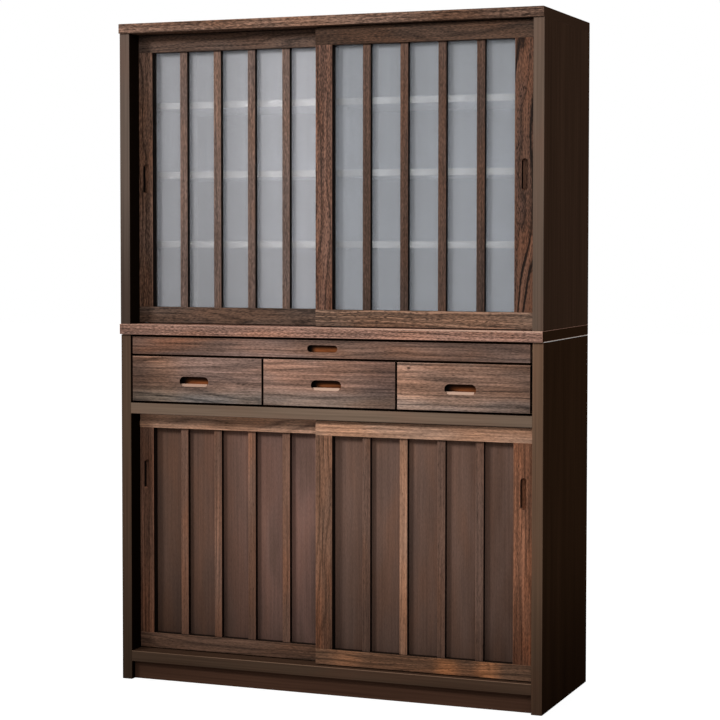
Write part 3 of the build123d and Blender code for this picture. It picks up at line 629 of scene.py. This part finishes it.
def dress_carcass():
    face, lower_face = srgb(64, 46, 35), srgb(51, 34, 22)
    sides = {
        "upper_side_left": (face, srgb(88, 75, 67), UPPER_FRONT_Y, UPPER_INSIDE, EDGE_FALL),
        "upper_side_right": (face, srgb(94, 78, 67), UPPER_FRONT_Y, UPPER_INSIDE, None),
        "lower_side_left": (lower_face, srgb(84, 66, 53), LOWER_FRONT_Y, LOWER_INSIDE, FOOT_SHADE),
        "lower_side_right": (lower_face, srgb(106, 82, 65), LOWER_FRONT_Y, LOWER_INSIDE, FOOT_SHADE),
    }
    for count, (name, (colour, edge, edge_y, inside, fall)) in enumerate(sides.items()):
        finish = laminate(
            name + "_finish", "Z", colour, edge, edge_y, 1.0 + count, inside=inside, shade=OPENING_SHADE,
            fall=fall,
        )
        dress(finish, name)
    deck = laminate("deck_finish", "X", face, srgb(116, 97, 82), LOWER_FRONT_Y, 5.0, inside=LOWER_INSIDE)
    dress(deck, "drawer_deck")
    # the bottom board's top behind its front edge set paler, as painted light
    bottom = laminate(
        "bottom_finish", "X", face, srgb(76, 59, 47), LOWER_FRONT_Y, 6.0, inside=LOWER_INSIDE, shade=1.5,
        crest=BOTTOM_CREST,
    )
    dress(bottom, "bottom_board")
    dress(laminate("kick_finish", "X", srgb(78, 54, 42), face, None, 7.0), "kick_plate", "rear_base_rail")
    dress(
        laminate("inner_boards", "X", srgb(50, 36, 28), face, None, 8.0),
        "drawer_dividers", "lower_top_panel", "tray_deck",
    )
    top = wood(
        "top_board_wood", "X", toned((101, 77, 64), 0.56, 1.46), seed=1.0, figure=1.4,
        ring_rate=110.0, lines=1.2, ends=face, arris_highlight=0.1, inside=UPPER_INSIDE, specular=0.0,
        patch=((0.44, 0.46, 0.48, 1.0), 0.9, "X", -0.2, 0.5),
    )
    dress(top, "top_board")
    base = wood(
        "base_board_wood", "X", toned((128, 97, 84), 0.52, 1.48), seed=1.6, figure=1.4,
        ring_rate=110.0, lines=1.2, ends=lower_face, arris_highlight=0.9, inside=BASE_INSIDE, specular=0.0,
        crest=BASE_CREST,
    )
    dress(base, "upper_base_board")
    # back panels grey, as painted shade
    grey = melamine("back_panel_shaded_grey", BACK_SHADED_GREY)
    dress(grey, "upper_back_panel", "lower_back_panel")
    edged = melamine(
        "white_boards", INTERIOR_WHITE, (srgb(206, 202, 192), srgb(230, 224, 211), SHELF_FRONT_Y),
    )
    dress(edged, "upper_partition", "lower_partition", "shelves")
    dress(plastic("pin_finish", (0.80, 0.80, 0.80, 1.0), 0.35), "shelf_pins")
    dress(steel("plate_metal", (0.60, 0.60, 0.61, 1.0)), "joining_plates", "joining_screws")
    dress(plastic("track_finish", srgb(64, 47, 37), 0.35), "door_track_strips")
    dress(felt("seat_felt", (0.70, 0.67, 0.62, 1.0)), "unit_seat_strips")
    pale = wood("beech", "X", toned((201, 166, 122), 0.85, 1.1), seed=4.0, rings=0.5, pores=0.15, hue=0.3)
    dress(pale, "carcass_dowels")
    runners = wood(
        "runner_beech", "Y", toned((198, 163, 120), 0.85, 1.1), seed=4.5, rings=0.5, pores=0.15, hue=0.3,
        roughness=0.4,
    )
    dress(runners, "runner_strips")


# Mean tone of the stiles, and of the outer one where it differs
STILE_TONES = {
    "upper_left": ((88, 65, 53), None),
    "upper_right": ((85, 61, 50), (65, 45, 35)),
    "lower_left": ((115, 80, 63), None),
    "lower_right": ((106, 79, 64), (123, 82, 61)),
}
# Mean tone of the top rail and of the bottom rail; the lower doors' top rails are set paler, as painted light
# against the shade under the drawer deck
RAIL_TONES = {
    "upper_left": ((70, 55, 47), (75, 59, 50)),
    "upper_right": ((64, 47, 37), (99, 76, 62)),
    "lower_left": ((178, 137, 113), (94, 69, 55)),
    "lower_right": ((172, 134, 111), (98, 71, 54)),
}
# How pale the lines of a strong figure are
GLEAM = {
    ("upper_right", "bottom_rail"): 0.9, ("lower_right", "bottom_rail"): 0.3, ("upper_right", "stiles"): 0.3,
}
# Mean tone of the muntins
MUNTIN_TONES = {
    "upper_left": (98, 79, 70),
    "upper_right": (73, 55, 46),
    "lower_left": (127, 93, 76),
    "lower_right": (110, 83, 70),
}
# Tinted stretches: tint, axis, from, to, strength. The bands along Z darken the lower part of the drawer and
# tray fronts, as painted shade where the light falls off downwards
BANDS = {
    "lower_right_muntins": (((2.2, 2.1, 1.85, 1.0), "X", 0.150, 0.280, 1.0),),
    "lower_right_bottom_rail": (
        ((2.5, 2.1, 1.6, 1.0), "X", 0.290, 0.385, 0.8), ((2.8, 2.2, 1.6, 1.0), "X", 0.400, 0.500, 0.8),
        ((1.8, 1.6, 1.4, 1.0), "X", -0.010, 0.120, 0.8),
    ),
    "drawer_left": (
        ((1.12, 1.02, 0.88, 1.0), "X", -0.56, -0.40, 0.7), ((0.54, 0.50, 0.45, 1.0), "X", -0.80, -0.40, 1.0),
        ((0.54, 0.75, 0.87, 1.0), "Z", 0.720, 0.835, 1.0),
    ),
    "drawer_middle": (
        ((0.96, 1.01, 1.06, 1.0), "X", -0.20, 0.02, 0.7), ((0.60, 0.60, 0.62, 1.0), "X", 0.04, 0.36, 1.0),
        ((0.63, 0.76, 0.80, 1.0), "Z", 0.720, 0.835, 1.0),
    ),
    "drawer_right": (
        ((1.36, 1.33, 1.30, 1.0), "X", 0.05, 0.36, 0.9), ((0.50, 0.50, 0.50, 1.0), "X", 0.38, 0.85, 1.0),
        ((0.80, 0.95, 1.06, 1.0), "Z", 0.720, 0.835, 1.0),
    ),
    "tray_front": (
        ((0.74, 0.80, 0.86, 1.0), "Z", 0.895, 0.914, 0.8), ((1.38, 1.41, 1.48, 1.0), "X", -0.34, -0.02, 1.0),
        ((0.80, 0.80, 0.80, 1.0), "X", 0.15, 0.75, 1.0), ((0.55, 0.55, 0.56, 1.0), "X", -0.90, -0.46, 1.0),
    ),
}
# Strength of the flecks and of the year rings, by the door's level
FLECKS = {"upper": 0.95, "lower": 0.35}
RINGS = {"upper": 1.3, "lower": 0.7}
BOLDER_RINGS = {"upper": 3.0, "lower": 1.0}     # on the outer stile of a right door
WARM_STILE = {"upper": (1.35, 0.55), "lower": (0.5, -0.1)}      # from and to which height it warms
# Mean tone of a door's panel, and its tint towards one side
PANEL_TONES = {
    "lower_left": ((99, 74, 62), ((1.58, 1.68, 1.98, 1.0), 0.9, "X", -0.47, -0.08)),
    "lower_right": ((110, 84, 72), ((0.62, 0.62, 0.62, 1.0), 0.9, "X", 0.24, 0.54)),
}


def dress_doors():
    for count, (door, (mean, far_mean)) in enumerate(STILE_TONES.items()):
        level = door.split("_")[0]
        second = patch = None
        if far_mean:
            second = ("X", STILE_SPLIT_X, toned(far_mean, 0.45, 1.6), BOLDER_RINGS[level])
            patch = (ORANGE_TINT, 0.7, "Z") + WARM_STILE[level]
        fall = FOOT_SHADE if level == "lower" else None
        stiles = wood(
            door + "_stile_wood", "Z", toned(mean, 0.5, 1.5), seed=10.0 + 3.0 * count, rings=RINGS[level],
            figure=2.4, ring_rate=60.0, flecks=FLECKS[level], second=second, patch=patch, fall=fall,
            shaded_side=("X", 0.2), gleam=GLEAM.get((door, "stiles"), 0.0),
        )
        dress(stiles, door + "_door_stiles")
        for part, rail_mean in zip(("top_rail", "bottom_rail"), RAIL_TONES[door]):
            rails = wood(
                door + "_" + part + "_wood", "X", toned(rail_mean, 0.58, 1.42),
                seed=30.0 + 5.0 * count + len(part), figure=2.8, ring_rate=60.0,
                lines=0.9, flecks=FLECKS[level], shaded_side=("Z", 0.35), gleam=GLEAM.get((door, part), 0.0),
                bands=BANDS.get(door + "_" + part, ()),
            )
            dress(rails, door + "_door_" + part)
        muntins = wood(
            door + "_muntin_wood", "Z", toned(MUNTIN_TONES[door], 0.62, 1.36), seed=50.0 + 2.0 * count,
            rings=0.6, figure=1.4, ring_rate=90.0, lines=0.7, flecks=0.8 * FLECKS[level],
            shaded_side=("X", 0.12), bands=BANDS.get(door + "_muntins", ()), fall=fall,
        )
        dress(muntins, door + "_door_muntins")
    for door, (mean, patch) in PANEL_TONES.items():
        panel = wood(
            door + "_panel_finish", "Z", toned(mean, 0.76, 1.22), seed=60.0 + len(door), rings=0.15,
            figure=0.6, lines=0.5, flecks=0.25, pores=0.2, hue=0.5, roughness=0.65, patch=patch,
            fall=FOOT_SHADE,
        )
        dress(panel, door + "_door_panel")
    for door, (tint, fall, painted_light_x) in PANES.items():
        glass = pane_glass(door + "_pane_finish", tint, PANE_CLEAR, PANE_THROUGH, fall, painted_light_x)
        dress(glass, door + "_door_glass")
    glides = plastic("glide_finish", srgb(120, 108, 96), 0.4)
    for door in STILE_TONES:
        dress(glides, door + "_door_glides")


# Place of a drawer's knot, how pale the painted highlight on its slot's lip is, and its mean tone
KNOTS = {"right": (0.2385, 0.8800)}
LIPS = {"left": 0.75, "middle": 1.0, "right": 1.0}
DRAWER_TONES = {"left": (133, 104, 91), "middle": (138, 107, 93), "right": (142, 111, 95)}


def dress_drawers():
    for count, (where, mean) in enumerate(DRAWER_TONES.items()):
        slot = drawer_slot(where)
        front = wood(
            "drawer_" + where + "_wood", "X", toned(mean, 0.53, 1.40), seed=70.0 + 4.0 * count, rings=1.3,
            figure=1.5, ring_rate=40.0, lines=1.15, flecks=0.45, slot=slot, lip=LIPS[where],
            bands=BANDS["drawer_" + where], knot=KNOTS.get(where), shaded_side=("X", 0.12), arris_highlight=0.2,
        )
        dress(front, "drawer_" + where + "_front")
        box = wood(
            "box_" + where + "_wood", "Y", toned((204, 172, 130), 0.85, 1.1), seed=98.0 + count, rings=0.6,
            figure=1.2, pores=0.12, hue=0.3, arris_highlight=0.0, slot=slot,
        )
        dress(box, "drawer_" + where + "_box")
    tray_wood = wood(
        "tray_front_wood", "X", toned((110, 85, 73), 0.52, 1.40), seed=90.0, figure=1.5,
        lines=1.1, flecks=0.45, patch=(ORANGE_TINT, 0.4, "X", -0.1, -0.45), slot=TRAY_SLOT,
        bands=BANDS["tray_front"], arris_highlight=0.3,
    )
    dress(tray_wood, "tray_front")
    tray_top = wood(
        "tray_board_wood", "X", toned((112, 84, 69)), seed=94.0, rings=1.2, figure=2.0, roughness=0.45,
    )
    dress(tray_top, "tray_board")
    base = wood(
        "box_bottom_ply", "X", toned((212, 182, 140), 0.88, 1.08), seed=99.0, rings=0.8, figure=3.2,
        ring_rate=28.0, pores=0.1, hue=0.3, arris_highlight=0.0,
    )
    for where in DRAWER_TONES:
        dress(base, "drawer_" + where + "_bottom")


# ---------------------------------------------------------------- studio

def seen_directly(tree):
    """1 for rays that show a surface: straight from the camera, in a reflection, or through glass."""
    path = add(tree, "ShaderNodeLightPath").outputs
    shown = calc(tree, "MAXIMUM", path["Is Camera Ray"], path["Is Glossy Ray"])
    return calc(tree, "MAXIMUM", shown, path["Is Transmission Ray"])


def make_world():
    world = bpy.data.worlds.new("studio_world")
    bpy.context.scene.world = world
    world.use_nodes = True
    tree = world.node_tree
    tree.nodes.clear()
    light = add(tree, "ShaderNodeBackground", None, {"Color": WHITE, "Strength": AMBIENT})
    white = add(tree, "ShaderNodeBackground", None, {"Color": WHITE, "Strength": 1.0})
    inputs = {0: seen_directly(tree), 1: light.outputs[0], 2: white.outputs[0]}
    both = add(tree, "ShaderNodeMixShader", None, inputs)
    output = add(tree, "ShaderNodeOutputWorld")
    tree.links.new(both.outputs[0], output.inputs["Surface"])


def make_floor():
    mesh = bpy.data.meshes.new("studio_floor")
    reach = FLOOR_REACH / 2.0
    corners = [(-reach, -reach, 0.0), (reach, -reach, 0.0), (reach, reach, 0.0), (-reach, reach, 0.0)]
    mesh.from_pydata(corners, [], [(0, 1, 2, 3)])
    floor = bpy.data.objects.new("studio_floor", mesh)
    bpy.context.scene.collection.objects.link(floor)
    material = bpy.data.materials.new("studio_floor_white")
    material.use_nodes = True
    tree = material.node_tree
    tree.nodes.clear()
    plain = add(tree, "ShaderNodeBsdfDiffuse", None, {"Color": scaled(WHITE, FLOOR_ALBEDO)})
    shade = add(tree, "ShaderNodeBsdfDiffuse", None, {"Color": scaled(WHITE, FLOOR_SHADE)})
    glow = add(tree, "ShaderNodeEmission", None, {"Color": WHITE, "Strength": FLOOR_WHITE})
    shown = add(tree, "ShaderNodeAddShader", None, {0: shade.outputs[0], 1: glow.outputs[0]})
    inputs = {0: seen_directly(tree), 1: plain.outputs[0], 2: shown.outputs[0]}
    both = add(tree, "ShaderNodeMixShader", None, inputs)
    output = add(tree, "ShaderNodeOutputMaterial")
    tree.links.new(both.outputs[0], output.inputs["Surface"])
    mesh.materials.append(material)


def add_lamp(name, kind, place_at, turn, **values):
    lamp = bpy.data.lights.new(name, kind)
    for key, value in values.items():
        setattr(lamp, key, value)
    holder = bpy.data.objects.new(name, lamp)
    bpy.context.scene.collection.objects.link(holder)
    holder.location = place_at
    holder.rotation_euler = turn
    return holder


def make_lamps():
    for name, (start, aim, power, side, spread) in SOFTBOXES.items():
        reach = [end - begin for end, begin in zip(aim, start)]
        tilt = math.atan2(math.hypot(reach[0], reach[1]), -reach[2])
        add_lamp(
            name, "AREA", start, (tilt, 0.0, math.atan2(-reach[0], reach[1])),
            energy=power, shape="SQUARE", size=side, spread=math.radians(spread),
        )
    up = math.radians(90.0 - BACK_ELEVATION)
    add_lamp(
        "back_lamp", "SUN", BACK_PLACE, (up, 0.0, math.radians(BACK_HEADING)),
        energy=BACK_STRENGTH, angle=math.radians(BACK_SPREAD),
    )


def make_camera():
    camera = bpy.data.cameras.new("camera")
    camera.sensor_width = SENSOR_WIDTH
    camera.lens = LENS
    camera.shift_x, camera.shift_y = SHIFT
    camera.clip_end = CAMERA_REACH
    holder = bpy.data.objects.new("camera", camera)
    bpy.context.scene.collection.objects.link(holder)
    holder.location = CAMERA_PLACE
    holder.rotation_euler = [math.radians(angle) for angle in CAMERA_TURN]
    bpy.context.scene.camera = holder


# ---------------------------------------------------------------- the whole

dress_carcass()
dress_doors()
dress_drawers()
make_world()
make_floor()
make_lamps()
make_camera()
bpy.context.scene.view_settings.view_transform = "Standard"
